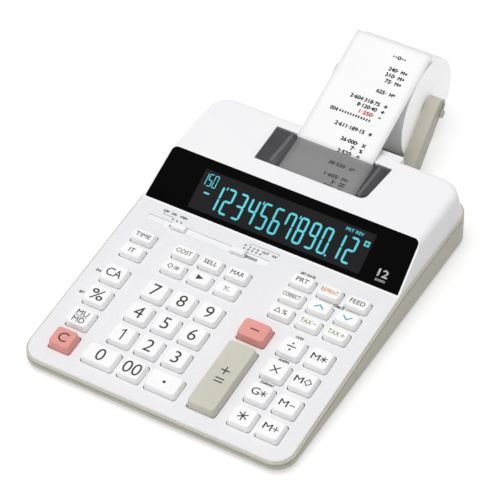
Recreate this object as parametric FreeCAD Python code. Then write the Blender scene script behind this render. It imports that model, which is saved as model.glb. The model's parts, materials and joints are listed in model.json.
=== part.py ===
import FreeCAD, Part
import math
import os

# Desk calculator with a paper-roll printer, in millimetres.
# X runs to the right, Y to the back and Z up. Lengths along Y are measured from the front of
# the lower case; the finished pieces are shifted so that the origin lies on the table, under
# the middle of the whole object.

# Driving dimensions of the two case halves
body_width = 195.0
body_depth = 248.0
foot_height = 2.0
foot_radius = 7.0
foot_inset = 17.0
foot_chamfer = 0.4
floor_thickness = 1.8
case_wall = 2.0
front_corner_radius = 14.0
rear_corner_radius = 17.0
bottom_edge_radius = 2.4
rim_width = 1.4
groove_depth = 0.5
groove_height = 0.7
groove_drop = 1.5

# Driving dimensions of the key deck and of the raised rear part
deck_slope = 6.3
deck_front_height = 10.3
deck_thickness = 1.8
deck_edge_radius = 0.8
deck_tuck = 6.0
deck_tuck_radius = 1.0
panel_start = 147.2
panel_slope = 28.9
panel_length = 40.3
hump_wall = 2.0
hump_side_draft = 2.7
hump_rear_draft = 5.0
hump_edge_radius = 5.0
hump_corner_radius = 15.0

# Driving dimensions of the display
window_thickness = 1.2
window_margin = 1.4
window_gap = 0.15
window_corner_radius = 4.0
panel_plate = 2.8
display_width = 127.8
display_height = 28.4
display_start = 4.2
display_rim = 2.5
display_thickness = 6.0

# Driving dimensions of the keys
key_pitch = 20.0
small_key_pitch = 13.9
key_width = 16.4
key_length = 15.4
small_key_length = 10.4
wide_key_extra = 6.8
add_key_width = 20.6
key_height = 4.5
tall_key_height = 6.2
key_taper = 1.0
key_corner_radius = 1.6
key_edge_radius = 0.7
key_wall = 1.2
key_top_thickness = 1.5
key_flange = 0.5
key_flange_thickness = 1.0
key_clearance = 0.3
key_stop_gap = 0.1
key_travel = 1.8
plunger_radius = 1.9
dome_clearance = 0.4
dome_wall = 0.9
mat_thickness = 0.8
board_thickness = 1.2
mat_side_gap = 10.0
mat_front = 10.0
mat_back = 143.0
rib_end_gap = 4.0
first_row = 20.2
first_small_row = 101.9
left_key_inset = 22.5
right_key_inset = 21.1

# Driving dimensions of the two slide switches
channel_left_reach = 8.5
channel_right_reach = 11.5
channel_front = 131.0
channel_length = 6.0
channel_depth = 0.9
channel_groove_width = 0.5
channel_groove_depth = 0.4
well_gap = 0.6
knob_width = 11.0
knob_length = 4.6
knob_height = 2.4
knob_taper = 0.5
knob_corner_radius = 0.8
stem_width = 4.0
stem_length = 2.2
slider_margin = 2.0
slider_thickness = 1.0
switch_gap = 0.12
mode_switch_offset = 15.4
mode_switch_travel = 5.2
decimal_switch_offset = 9.4
decimal_switch_travel = 12.0

# Driving dimensions of the printer
paper_width = 57.5
paper_thickness = 0.25
paper_centre = 3.3
paper_gap = 0.3
cover_centre = 1.7
cover_setback = 51.0
cover_length = 34.6
cover_front_width = 83.2
cover_rear_width = 87.6
cover_thickness = 2.0
cover_gap = 0.35
cover_right_radius = 5.0
cover_left_radius = 1.5
cover_notch_width = 63.0
cover_notch_depth = 2.3
scoop_width = 4.0
scoop_depth = 0.65
hinge_radius = 1.5
hinge_pin_radius = 0.75
hinge_pin_length = 2.4
hinge_boss_length = 5.0
hinge_boss_wall = 2.0
bearing_gap = 0.06
throat_drop = 1.0
exit_slot_length = 3.0
lip_left_reach = 31.0
lip_right_reach = 42.7
lip_step = 1.2
lip_step_length = 6.2
frame_plate = 2.0
frame_paper_gap = 3.5
frame_inset = 4.5
frame_rear_gap = 11.0
frame_base = 2.0
ledge_gap = 0.1
platen_radius = 8.0
platen_inset = 10.0
platen_overhang = 1.0
platen_z = 30.0
platen_shaft_radius = 2.0
ink_roller_radius = 6.0
ink_roller_inset = 31.0
ink_roller_shortfall = 2.0
ink_roller_z = 29.5
motor_radius = 9.0
motor_length = 22.0
motor_inset = 20.0
motor_z = 18.0
inlet_z = 14.0
inlet_height = 3.6
jack_radius = 2.75
jack_x = -62.0
jack_z = 13.0
jack_wall = 3.25
jack_depth = 7.0

# Driving dimensions of the paper roll and its holder
roll_radius = 35.9
roll_setback = 57.8
roll_z = 36.8
core_radius = 6.0
strip_reach = 88.5
holder_gap = 1.6
arm_thickness = 9.6
arm_head_radius = 6.8
arm_head_forward = 1.4
arm_head_rise = 5.4
arm_root_height = 11.5
arm_root_drop = 1.2
arm_bend_setback = 15.9
arm_heel_setback = 26.9
arm_heel_height = 2.6
arm_flange = 2.2
arm_pocket = 0.8
pin_reach = 5.0
pin_clearance = 0.07
pin_cap_radius = 2.8
pin_cap_length = 2.2
socket_depth = 9.0
socket_wall = 1.0
socket_gap = 0.15
bridge_front = 6.0
bridge_length = 6.0
bridge_height = 3.6

# Driving dimensions of the case screws
screw_radius = 1.3
screw_head_radius = 2.6
screw_head_height = 1.1
screw_length = 6.5
screw_clearance = 0.3
screw_thread_gap = 0.05
screw_tip_gap = 0.5
post_radius = 3.1
post_inset = 6.2
front_post_y = 22.0
middle_post_y = 134.0
rear_post_inset = 38.0
drive_width = 0.7
drive_length = 3.2
drive_depth = 0.8

# Sizes that follow from the driving dimensions
half_body = body_width / 2
half_deck = half_body - rim_width
case_bottom = foot_height
floor_top = case_bottom + floor_thickness
slope = math.radians(deck_slope)
tilt = math.radians(panel_slope)
panel_base_z = deck_front_height + panel_start * math.tan(slope)
panel_top_y = panel_start + panel_length * math.cos(tilt)
top_z = panel_base_z + panel_length * math.sin(tilt)
parting_level = panel_base_z - deck_thickness
deck_end = panel_start + deck_tuck
hump_rear = body_depth - rim_width
roll_half = paper_width / 2
roll_y = body_depth + roll_setback
overall_length = roll_y + roll_radius
mat_half_width = half_body - mat_side_gap
cover_front = body_depth - cover_setback
frame_front = cover_front + frame_inset
frame_back = body_depth - frame_rear_gap
platen_y = cover_front + platen_inset
ink_roller_y = cover_front + ink_roller_inset
motor_y = cover_front + motor_inset
arm_bend = body_depth + arm_bend_setback
arm_heel = body_depth + arm_heel_setback
rear_post_y = body_depth - rear_post_inset
clear_of_all = 10.0
origin_shift = FreeCAD.Vector(0, -overall_length / 2, 0)
deck_origin = FreeCAD.Vector(0, 0, deck_front_height)
panel_origin = FreeCAD.Vector(0, panel_start, panel_base_z)
x_axis = FreeCAD.Vector(1, 0, 0)
y_axis = FreeCAD.Vector(0, 1, 0)
z_axis = FreeCAD.Vector(0, 0, 1)


def box(x0, x1, y0, y1, z0, z1):
    """Block between two corners."""
    return Part.makeBox(x1 - x0, y1 - y0, z1 - z0, FreeCAD.Vector(x0, y0, z0))


def prism_x(outline, x0, x1):
    """Closed outline of (y, z) points, extruded from x0 to x1."""
    points = [FreeCAD.Vector(x0, y, z) for y, z in outline]
    face = Part.Face(Part.makePolygon(points + points[:1]))
    return face.extrude(FreeCAD.Vector(x1 - x0, 0, 0))


def rod_x(x0, x1, y, z, radius):
    """Round bar along X."""
    return Part.makeCylinder(radius, x1 - x0, FreeCAD.Vector(x0, y, z), x_axis)


def rod_z(x, y, z0, z1, radius):
    """Upright round bar."""
    return Part.makeCylinder(radius, z1 - z0, FreeCAD.Vector(x, y, z0))


def rounded_outline(half_width, y0, y1, front_radius, rear_radius, z):
    """Flat closed outline with two front and two rear corner arcs."""
    corners = (
        (half_width, y0, front_radius, 0),
        (half_width, y1, rear_radius, 90),
        (-half_width, y1, rear_radius, 180),
        (-half_width, y0, front_radius, 270),
    )
    arcs = []
    for x, y, radius, turn in corners:
        centre = FreeCAD.Vector(x - math.copysign(radius, x), y + (radius if y == y0 else -radius), z)
        arcs.append(Part.makeCircle(radius, centre, z_axis, turn - 90, turn))
    edges = []
    for arc, following in zip(arcs, arcs[1:] + arcs[:1]):
        edges.append(arc)
        edges.append(Part.makeLine(arc.lastVertex().Point, following.firstVertex().Point))
    return Part.Wire(edges)


def rounded_block(half_width, y0, y1, front_radius, rear_radius, z0, z1):
    """Upright block with the same rounded outline at every height."""
    face = Part.Face(rounded_outline(half_width, y0, y1, front_radius, rear_radius, z0))
    return face.extrude(FreeCAD.Vector(0, 0, z1 - z0))


def tapered_block(width, length, taper, radius, z0, z1):
    """Block around the Z axis whose sides lean in by taper towards the top."""
    lower = rounded_outline(width / 2, -length / 2, length / 2, radius, radius, z0)
    upper = rounded_outline(width / 2 - taper, taper - length / 2, length / 2 - taper, radius, radius, z1)
    return Part.makeLoft([lower, upper], True, True)


def placed(shape, origin, angle):
    """Shape turned about X by an angle in degrees and moved to an origin."""
    turned = shape.copy()
    turned.Placement = FreeCAD.Placement(origin, FreeCAD.Rotation(x_axis, angle)).multiply(turned.Placement)
    return turned


def on_deck(shape):
    """Shape drawn on a flat deck, moved to the sloping deck."""
    return placed(shape, deck_origin, deck_slope)


def on_panel(shape):
    """Shape drawn on a flat panel, moved to the sloping display panel."""
    return placed(shape, panel_origin, panel_slope)


def moved(shape, x, y, z=0.0):
    """Copy of a shape at another place."""
    copy = shape.copy()
    copy.translate(FreeCAD.Vector(x, y, z))
    return copy


def save(name, shape):
    """Write one piece, or one group of like pieces, as its own node."""
    shape = shape.copy()
    shape.translate(origin_shift)
    shape.exportStep(os.path.join("parts", name + ".step"))


os.makedirs("parts", exist_ok=True)

# Key columns: the digit block and the add key share the free width between the outer columns evenly
left_column = left_key_inset - half_body
right_column = half_body - right_key_inset - 2 * key_pitch
digits_width = 2 * key_pitch + key_width + 2 * wide_key_extra
inner_left = left_column + key_width / 2
inner_right = right_column + key_pitch - key_width / 2
column_gap = (inner_right - inner_left - digits_width - add_key_width) / 3
digit_column = inner_left + column_gap + wide_key_extra + key_width / 2
add_column = inner_right - column_gap - add_key_width / 2
channel_left = left_column - channel_left_reach
channel_right = digit_column + 2 * key_pitch + channel_right_reach
mode_switch_x = left_column + mode_switch_offset
decimal_switch_x = digit_column + key_pitch + decimal_switch_offset

# Keys: name, column, row, width and length on the deck
columns = [digit_column + key_pitch * step for step in range(3)]
right_columns = [right_column + key_pitch * step for step in range(3)]
rows = [first_row + key_pitch * step for step in range(4)]
small_rows = [first_small_row + small_key_pitch * step for step in range(3)]
wide_width = key_width + wide_key_extra
add_length = 2 * key_pitch + key_length

keys = []


def key_row(names, xs, row, length):
    """Add one row of keys of standard width."""
    for name, x in zip(names, xs):
        keys.append((name, x, row, key_width, length))


key_row(["digit_1", "digit_2", "digit_3"], columns, rows[1], key_length)
key_row(["digit_4", "digit_5", "digit_6"], columns, rows[2], key_length)
key_row(["digit_7", "digit_8", "digit_9"], columns, rows[3], key_length)
key_row(["double_zero"], columns[1:2], rows[0], key_length)
keys.append(("digit_0", columns[0] - wide_key_extra / 2, rows[0], wide_width, key_length))
keys.append(("point", columns[2] + wide_key_extra / 2, rows[0], wide_width, key_length))
keys.append(("minus", add_column, rows[3], add_key_width, key_length))
keys.append(("plus_equals", add_column, rows[1], add_key_width, add_length))
for name, row in zip(["clear", "markup", "percent", "clear_all"], rows):
    key_row([name], [left_column], row, key_length)
for name, row in zip(["item", "time"], small_rows):
    key_row([name], [left_column], row, small_key_length)
key_row(["non_add", "shift", "sign"], columns, small_rows[0], small_key_length)
key_row(["cost", "sell", "margin"], columns, small_rows[1], small_key_length)
key_row(["delta", "tax_minus", "tax_plus"], right_columns, small_rows[0], small_key_length)
key_row(["correct", "up", "down"], right_columns, small_rows[1], small_key_length)
key_row(["print", "reprint", "feed"], right_columns, small_rows[2], small_key_length)
key_row(["total", "memory_plus"], right_columns[1:], rows[0], key_length)
key_row(["grand_total", "memory_minus"], right_columns[1:], rows[1], key_length)
key_row(["multiply", "memory_subtotal"], right_columns[1:], rows[2], key_length)
key_row(["divide", "memory_total"], right_columns[1:], rows[3], key_length)

flange_top = -deck_thickness - key_stop_gap
flange_bottom = flange_top - key_flange_thickness
plunger_bottom = flange_bottom - key_stop_gap
dome_top = plunger_bottom - key_stop_gap
mat_top = plunger_bottom - key_travel - key_stop_gap
mat_bottom = mat_top - mat_thickness
board_bottom = mat_bottom - board_thickness


def key_cap(width, length, height):
    """Hollow cap with a stop flange below the deck and a plunger over its dome."""
    cap = tapered_block(width, length, key_taper, key_corner_radius, 0, height)
    top_edges = [edge for edge in cap.Edges if edge.BoundBox.ZMin > height - 0.01]
    cap = cap.makeFillet(key_edge_radius, top_edges)
    skirt = rounded_block(
        width / 2, -length / 2, length / 2, key_corner_radius, key_corner_radius, flange_bottom, 0
    )
    reach_x = width / 2 + key_clearance + key_flange
    reach_y = length / 2 + key_clearance + key_flange
    flange = box(-reach_x, reach_x, -reach_y, reach_y, flange_bottom, flange_top)
    inner_width = width - 2 * key_wall
    inner_length = length - 2 * key_wall
    ceiling = height - key_top_thickness
    hollow = box(-inner_width / 2, inner_width / 2, -inner_length / 2, inner_length / 2, flange_bottom, 0)
    roof = tapered_block(inner_width, inner_length, key_taper, key_corner_radius, 0, ceiling)
    plunger = rod_z(0, 0, plunger_bottom, ceiling, plunger_radius)
    body = cap.fuse([skirt, flange]).cut([hollow, roof])
    return body.fuse(plunger).removeSplitter()


tall_keys = ("clear", "minus", "plus_equals")
caps = {}
for name, x, row, width, length in keys:
    size = (width, length, tall_key_height if name in tall_keys else key_height)
    if size not in caps:
        caps[size] = key_cap(*size)
    save("key_" + name, on_deck(moved(caps[size], x, row)))

# Rubber mat with one collapsing dome under every plunger, and the board that it lies on
dome_bore = plunger_radius + dome_clearance
domes = []
dome_bores = []
for name, x, row, width, length in keys:
    domes.append(rod_z(x, row, mat_top, dome_top, dome_bore + dome_wall))
    dome_bores.append(rod_z(x, row, mat_top, dome_top, dome_bore))
mat = box(-mat_half_width, mat_half_width, mat_front, mat_back, mat_bottom, mat_top)
mat = mat.fuse(domes).cut(dome_bores).removeSplitter()
save("keypad_mat", on_deck(mat))
board = box(-mat_half_width, mat_half_width, mat_front, mat_back, board_bottom, mat_bottom)
save("main_board", on_deck(board))

# Case screws: the same posts, holes and screws at every place
post_x = half_body - post_inset
post_places = [(side * post_x, y) for y in (front_post_y, middle_post_y) for side in (-1, 1)]
rear_post_x = post_x - hump_side_draft
post_places += [(side * rear_post_x, rear_post_y) for side in (-1, 1)]
head_top = case_bottom + screw_head_height + key_stop_gap


def screw(x, y):
    """Cross-head screw driven up through the floor into its post."""
    low = head_top - screw_head_height
    shank = rod_z(x, y, head_top, head_top + screw_length, screw_radius)
    body = rod_z(x, y, low, head_top, screw_head_radius).fuse(shank)
    for long_x, long_y in ((drive_length, drive_width), (drive_width, drive_length)):
        slot = box(x - long_x / 2, x + long_x / 2, y - long_y / 2, y + long_y / 2, low, low + drive_depth)
        body = body.cut(slot)
    return body.removeSplitter()


save("case_screws", Part.makeCompound([screw(x, y) for x, y in post_places]))

# Upper case: the sloping deck plate and the raised rear part, as one hollow shell
deck_outline = rounded_block(
    half_deck, rim_width, deck_end, front_corner_radius - rim_width, deck_tuck_radius, 0, 2 * top_z
)
deck_reach = 2 * body_depth
deck_slab = on_deck(box(-half_body, half_body, -deck_reach, deck_reach, -deck_thickness, 0))
deck_plate = deck_outline.common(deck_slab)
deck_top_normal = FreeCAD.Vector(0, -math.sin(slope), math.cos(slope))
deck_face = max(deck_plate.Faces, key=lambda face: face.normalAt(0, 0).dot(deck_top_normal))
deck_edges = [edge for edge in deck_face.Edges if edge.BoundBox.YMin < deck_end - 2.0]
deck_plate = deck_plate.makeFillet(deck_edge_radius, deck_edges)


def hump_block(inset, rise):
    """Raised rear part, drafted on its sides and rear; inset and rise give its hollow."""
    start = panel_start - body_depth / 4
    corner = hump_corner_radius - inset
    low_half = half_deck - inset
    high_half = low_half - hump_side_draft
    low_rear = hump_rear - inset
    high_rear = low_rear - hump_rear_draft
    foot = rounded_outline(low_half, start, low_rear, deck_tuck_radius, corner, parting_level - rise)
    head = rounded_outline(high_half, start, high_rear, deck_tuck_radius, corner, top_z)
    return Part.makeLoft([foot, head], True, True)


back = body_depth + clear_of_all
panel_foot = panel_start - rim_width / 2
panel_foot_z = panel_base_z - rim_width / 2 * math.tan(slope)
hump_profile = prism_x(
    [
        (panel_foot, parting_level),
        (panel_foot, panel_foot_z),
        (panel_start, panel_base_z),
        (panel_top_y, top_z),
        (back, top_z),
        (back, parting_level),
    ],
    -body_width,
    body_width,
)
hump = hump_block(0.0, 0.0).common(hump_profile)
rear_edges = []
for edge in hump.Edges:
    limits = edge.BoundBox
    if limits.ZMin > top_z - 0.01 and limits.YMax > panel_top_y + 1.0:
        rear_edges.append(edge)
hump = hump.makeFillet(hump_edge_radius, rear_edges)

lip_left = paper_centre - lip_left_reach
lip_right = paper_centre + lip_right_reach
lip_front = cover_front + cover_length + cover_gap
lip = box(lip_left, lip_right, lip_front, hump_rear, parting_level, top_z)
lip = lip.cut(box(lip_left, lip_right, hump_rear - lip_step_length, hump_rear, top_z - lip_step, top_z))

ceiling_z = top_z - hump_wall
panel_drop = panel_plate / math.cos(tilt)
cavity_front = panel_start + hump_wall
cavity_front_z = panel_base_z + hump_wall * math.tan(tilt) - panel_drop
ceiling_y = panel_start + (ceiling_z - panel_base_z + panel_drop) / math.tan(tilt)
cavity_profile = prism_x(
    [
        (cavity_front, parting_level - clear_of_all),
        (cavity_front, cavity_front_z),
        (ceiling_y, ceiling_z),
        (hump_rear - hump_wall, ceiling_z),
        (hump_rear - hump_wall, parting_level - clear_of_all),
    ],
    -body_width,
    body_width,
)
cavity = hump_block(hump_wall, clear_of_all).common(cavity_profile)
upper = deck_plate.fuse([hump, lip]).cut(cavity)

key_openings = []
for name, x, row, width, length in keys:
    half_w = width / 2 + key_clearance
    half_l = length / 2 + key_clearance
    corner = key_corner_radius + key_clearance
    hole = rounded_block(half_w, -half_l, half_l, corner, corner, -2 * deck_thickness, deck_thickness)
    key_openings.append(on_deck(moved(hole, x, row)))
openings = []
channel_back = channel_front + channel_length
channel_profile = [
    (channel_front, 0),
    (channel_back, -channel_depth),
    (channel_back, deck_thickness),
    (channel_front, deck_thickness),
]
openings.append(on_deck(prism_x(channel_profile, channel_left, channel_right)))
groove = box(
    channel_left,
    channel_right,
    channel_back - channel_groove_width,
    channel_back,
    -channel_depth - channel_groove_depth,
    deck_thickness,
)
openings.append(on_deck(groove))
switches = (
    ("mode_switch", mode_switch_x, -mode_switch_travel, 0.0),
    ("decimal_switch", decimal_switch_x, 0.0, decimal_switch_travel),
)
channel_middle = channel_front + channel_length / 2
for name, x, low, high in switches:
    well = box(
        x + low - knob_width / 2 - well_gap,
        x + high + knob_width / 2 + well_gap,
        channel_front,
        channel_back,
        -channel_depth,
        deck_thickness,
    )
    openings.append(on_deck(well))
    slot_half = stem_length / 2 + switch_gap
    slot = box(
        x + low - stem_width / 2 - switch_gap,
        x + high + stem_width / 2 + switch_gap,
        channel_middle - slot_half,
        channel_middle + slot_half,
        -2 * deck_thickness,
        deck_thickness,
    )
    openings.append(on_deck(slot))


def window_outline(gap, z):
    """Display window: square lower corners, rounded upper corners, grown by a gap."""
    foot_share = (panel_base_z - parting_level) / (top_z - parting_level)
    lower_half = half_deck - hump_side_draft * foot_share - window_margin + gap
    upper_half = half_deck - hump_side_draft - window_margin + gap
    low = window_margin / 2 - gap
    high = panel_length - window_margin / 2 + gap
    radius = window_corner_radius
    lean = math.atan2(lower_half - upper_half, high - low)
    reach = radius * math.tan((math.pi / 2 + lean) / 2 - lean)
    centre_y = high - radius
    right_side = FreeCAD.Vector(upper_half, high, z)
    along = FreeCAD.Vector(math.sin(lean), -math.cos(lean), 0)
    tangent = right_side + along * reach
    top_point = right_side - FreeCAD.Vector(reach, 0, 0)
    centre = FreeCAD.Vector(top_point.x, centre_y, z)
    middle_way = (right_side - centre).normalize() * radius
    bend = centre + middle_way
    mirror = [FreeCAD.Vector(-p.x, p.y, z) for p in (top_point, bend, tangent)]
    foot = FreeCAD.Vector(lower_half, low, z)
    other_foot = FreeCAD.Vector(-lower_half, low, z)
    return Part.Wire(
        [
            Part.makeLine(other_foot, foot),
            Part.makeLine(foot, tangent),
            Part.Arc(tangent, bend, top_point).toShape(),
            Part.makeLine(top_point, mirror[0]),
            Part.Arc(mirror[0], mirror[1], mirror[2]).toShape(),
            Part.makeLine(mirror[2], other_foot),
        ]
    )


recess = Part.Face(window_outline(window_gap, -window_thickness)).extrude(FreeCAD.Vector(0, 0, hump_wall))
openings.append(on_panel(recess))
half_display = display_width / 2
display_end = display_start + display_height
openings.append(
    on_panel(box(-half_display, half_display, display_start, display_end, -2 * panel_plate, panel_plate))
)

# Opening of the printer cover, with the paper exit behind its cutter edge
hinge_y = cover_front + cover_gap + hinge_radius
hinge_z = top_z - hinge_radius
cover_back = cover_front + cover_length


def cover_plan(shrink, y0, y1, z0, z1):
    """Flat block between y0 and y1 that widens to the rear like the cover."""
    rate = (cover_rear_width - cover_front_width) / 2 / cover_length
    points = []
    for y, side in ((y0, -1), (y0, 1), (y1, 1), (y1, -1)):
        half = cover_front_width / 2 + rate * (y - cover_front) - shrink
        points.append(FreeCAD.Vector(cover_centre + side * half, y, z0))
    return Part.Face(Part.makePolygon(points + points[:1])).extrude(FreeCAD.Vector(0, 0, z1 - z0))


def rounded_plan(gap, z0, z1):
    """Whole cover outline inside a gap, with round front corners."""
    block = cover_plan(gap, cover_front + gap, cover_back - gap, z0, z1)
    for side, radius in ((-1, cover_left_radius), (1, cover_right_radius)):
        corner = [
            edge
            for edge in block.Edges
            if edge.BoundBox.YMax < cover_front + gap + 0.01
            and edge.BoundBox.ZLength > (z1 - z0) / 2
            and side * (edge.BoundBox.Center.x - cover_centre) > 0
        ]
        block = block.makeFillet(radius - gap, corner)
    return block


def scoop_end(y):
    """Triangle across the finger scoop beside the cover's left edge, at one end of it."""
    rate = (cover_rear_width - cover_front_width) / 2 / cover_length
    edge_x = cover_centre - cover_front_width / 2 - rate * (y - cover_front)
    reach = scoop_depth / scoop_width
    corners = [
        FreeCAD.Vector(edge_x - 2 * scoop_width, y, top_z + scoop_depth),
        FreeCAD.Vector(edge_x + scoop_width, y, top_z - scoop_depth - reach * scoop_width),
        FreeCAD.Vector(edge_x + scoop_width, y, top_z + scoop_depth),
    ]
    return Part.makePolygon(corners + corners[:1])


openings.append(rounded_plan(0.0, parting_level, top_z + hump_wall))
openings.append(Part.makeLoft([scoop_end(cover_front), scoop_end(cover_back)], True, True))
exit_half = paper_width / 2 + paper_gap
exit_front = cover_back - cover_notch_depth
exit_back = cover_back + exit_slot_length - cover_notch_depth
openings.append(
    box(paper_centre - exit_half, paper_centre + exit_half, exit_front, exit_back, parting_level, 2 * top_z)
)

hinge_half = cover_front_width / 2
bosses = []
for side in (-1, 1):
    outer = cover_centre + side * (hinge_half + hinge_boss_length)
    inner = cover_centre + side * (hinge_half - hinge_boss_wall)
    low_x = min(inner, outer)
    high_x = max(inner, outer)
    boss_back = hinge_y + 2 * hinge_radius
    boss_low = hinge_z - 2 * hinge_radius
    bosses.append(box(low_x, high_x, cover_front, boss_back, boss_low, ceiling_z))
bore_half = hinge_half + hinge_pin_length + cover_gap
bore_radius = hinge_pin_radius + bearing_gap
hinge_bore = rod_x(cover_centre - bore_half, cover_centre + bore_half, hinge_y, hinge_z, bore_radius)

posts = []
pilots = []
for x, y in post_places:
    post = rod_z(x, y, floor_top, 2 * top_z, post_radius)
    half_way = -deck_thickness / 2
    roof_limit = on_deck(box(-body_width, body_width, -deck_reach, deck_reach, -body_depth, half_way))
    if y > panel_start:
        roof_limit = box(-body_width, body_width, 0, 2 * body_depth, -body_depth, ceiling_z + hump_wall / 2)
    posts.append(post.common(roof_limit))
    pilot_top = head_top + screw_length + screw_tip_gap
    pilots.append(rod_z(x, y, floor_top - case_wall, pilot_top, screw_radius + screw_thread_gap))
upper = upper.fuse(bosses + posts).cut(key_openings + [hinge_bore] + pilots)
for opening in openings:
    upper = upper.cut(opening)
save("upper_case", upper.removeSplitter())

# Display window and the display module behind it
window = Part.Face(window_outline(0.0, -window_thickness)).extrude(FreeCAD.Vector(0, 0, window_thickness))
save("display_window", on_panel(window))
module = box(
    -half_display - display_rim,
    half_display + display_rim,
    display_start - display_rim,
    display_end + display_rim,
    -panel_plate - display_thickness,
    -panel_plate,
)
screen = box(
    -half_display + window_gap,
    half_display - window_gap,
    display_start + window_gap,
    display_end - window_gap,
    -panel_plate,
    -window_thickness,
)
save("display_module", on_panel(module.fuse(screen).removeSplitter()))

# Slide switches: a knob over the channel, a stem through the slot and a slider below the deck
for name, x, low, high in switches:
    knob_floor = -channel_depth + switch_gap
    knob = tapered_block(knob_width, knob_length, knob_taper, knob_corner_radius, knob_floor, knob_height)
    slider_top = -deck_thickness - switch_gap
    stem_low = slider_top - slider_thickness / 2
    stem = box(-stem_width / 2, stem_width / 2, -stem_length / 2, stem_length / 2, stem_low, 0)
    slider_half = stem_width / 2 + slider_margin + high - low
    slider = box(
        -slider_half,
        slider_half,
        -stem_length / 2 - slider_margin,
        stem_length / 2 + slider_margin,
        slider_top - slider_thickness,
        slider_top,
    )
    piece = knob.fuse([stem, slider]).removeSplitter()
    save(name, on_deck(moved(piece, x, channel_middle)))

# Lower case: a tray whose rim follows the deck and then runs level
lower = rounded_block(
    half_body, 0, body_depth, front_corner_radius, rear_corner_radius, case_bottom, 2 * top_z
)
bottom_edges = [edge for edge in lower.Edges if edge.BoundBox.ZMax < case_bottom + 0.01]
lower = lower.makeFillet(bottom_edge_radius, bottom_edges)
hollow = rounded_block(
    half_body - case_wall,
    case_wall,
    body_depth - case_wall,
    front_corner_radius - case_wall,
    rear_corner_radius - case_wall,
    floor_top,
    3 * top_z,
)
rim_front = deck_front_height - deck_thickness / math.cos(slope)
rim_level_y = (parting_level - rim_front) / math.tan(slope)


def above_rim(drop):
    """Everything above the rim line, lowered by a drop."""
    return prism_x(
        [
            (-clear_of_all, rim_front - clear_of_all * math.tan(slope) - drop),
            (rim_level_y, parting_level - drop),
            (body_depth + clear_of_all, parting_level - drop),
            (body_depth + clear_of_all, 4 * top_z),
            (-clear_of_all, 4 * top_z),
        ],
        -body_width,
        body_width,
    )


skin = rounded_block(
    half_body + case_wall,
    -case_wall,
    body_depth + case_wall,
    front_corner_radius + case_wall,
    rear_corner_radius + case_wall,
    0,
    3 * top_z,
)
core = rounded_block(
    half_body - groove_depth,
    groove_depth,
    body_depth - groove_depth,
    front_corner_radius - groove_depth,
    rear_corner_radius - groove_depth,
    -1.0,
    4 * top_z,
)
groove = skin.cut(core).common(above_rim(groove_drop + groove_height)).cut(above_rim(groove_drop))
lower = lower.cut([hollow, above_rim(0.0), groove])

cuts = []
for x, y in post_places:
    cuts.append(rod_z(x, y, 0, floor_top + 1.0, screw_radius + screw_clearance))
    cuts.append(rod_z(x, y, 0, head_top, screw_head_radius + screw_clearance))
inlet_half = paper_width / 2 + paper_gap + 1.0
cuts.append(
    box(
        paper_centre - inlet_half,
        paper_centre + inlet_half,
        body_depth - 2 * case_wall,
        body_depth + 1.0,
        inlet_z - inlet_height / 2,
        inlet_z + inlet_height / 2,
    )
)

# Arms of the roll holder, seated in two sockets of the rear wall
arm_inner = roll_half + holder_gap
arm_outer = arm_inner + arm_thickness
root_low = floor_top + arm_root_drop
root_high = root_low + arm_root_height
socket_front = body_depth - socket_depth
for side in (-1, 1):
    near = paper_centre + side * arm_inner
    far = paper_centre + side * arm_outer
    low_x = min(near, far) - socket_gap
    high_x = max(near, far) + socket_gap
    cuts.append(
        box(low_x, high_x, socket_front, body_depth + 1.0, root_low - socket_gap, root_high + socket_gap)
    )
supports = []
for side in (-1, 1):
    near = paper_centre + side * arm_inner
    far = paper_centre + side * arm_outer
    supports.append(
        box(
            min(near, far) - socket_wall,
            max(near, far) + socket_wall,
            socket_front - socket_wall,
            body_depth - case_wall,
            floor_top,
            root_high + case_wall,
        )
    )

# Ribs that carry the board
rib_half = case_wall / 2
ribs = []
for x in (left_column, digit_column + key_pitch, add_column, right_column + 2 * key_pitch):
    rib = box(x - rib_half, x + rib_half, mat_front + rib_end_gap, mat_back - rib_end_gap, floor_top, top_z)
    below_board = on_deck(box(-body_width, body_width, -deck_reach, deck_reach, -body_depth, board_bottom))
    ribs.append(rib.common(below_board))
jack_half = jack_radius + jack_wall
jack_front = body_depth - jack_depth - case_wall
jack_block = box(
    jack_x - jack_half, jack_x + jack_half, jack_front, body_depth - case_wall, floor_top, jack_z + jack_half
)
jack_base = FreeCAD.Vector(jack_x, body_depth - jack_depth, jack_z)
jack_hole = Part.makeCylinder(jack_radius, jack_depth + case_wall, jack_base, y_axis)
lower = lower.fuse(supports + ribs + [jack_block]).cut(cuts + [jack_hole]).removeSplitter()
save("lower_case", lower)

feet = []
for side in (-1, 1):
    for y in (foot_inset, body_depth - foot_inset):
        foot = rod_z(side * (half_body - foot_inset), y, 0, case_bottom, foot_radius)
        rim = [edge for edge in foot.Edges if edge.BoundBox.ZMax < 0.01]
        feet.append(foot.makeChamfer(foot_chamfer, rim))
save("rubber_feet", Part.makeCompound(feet))

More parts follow.
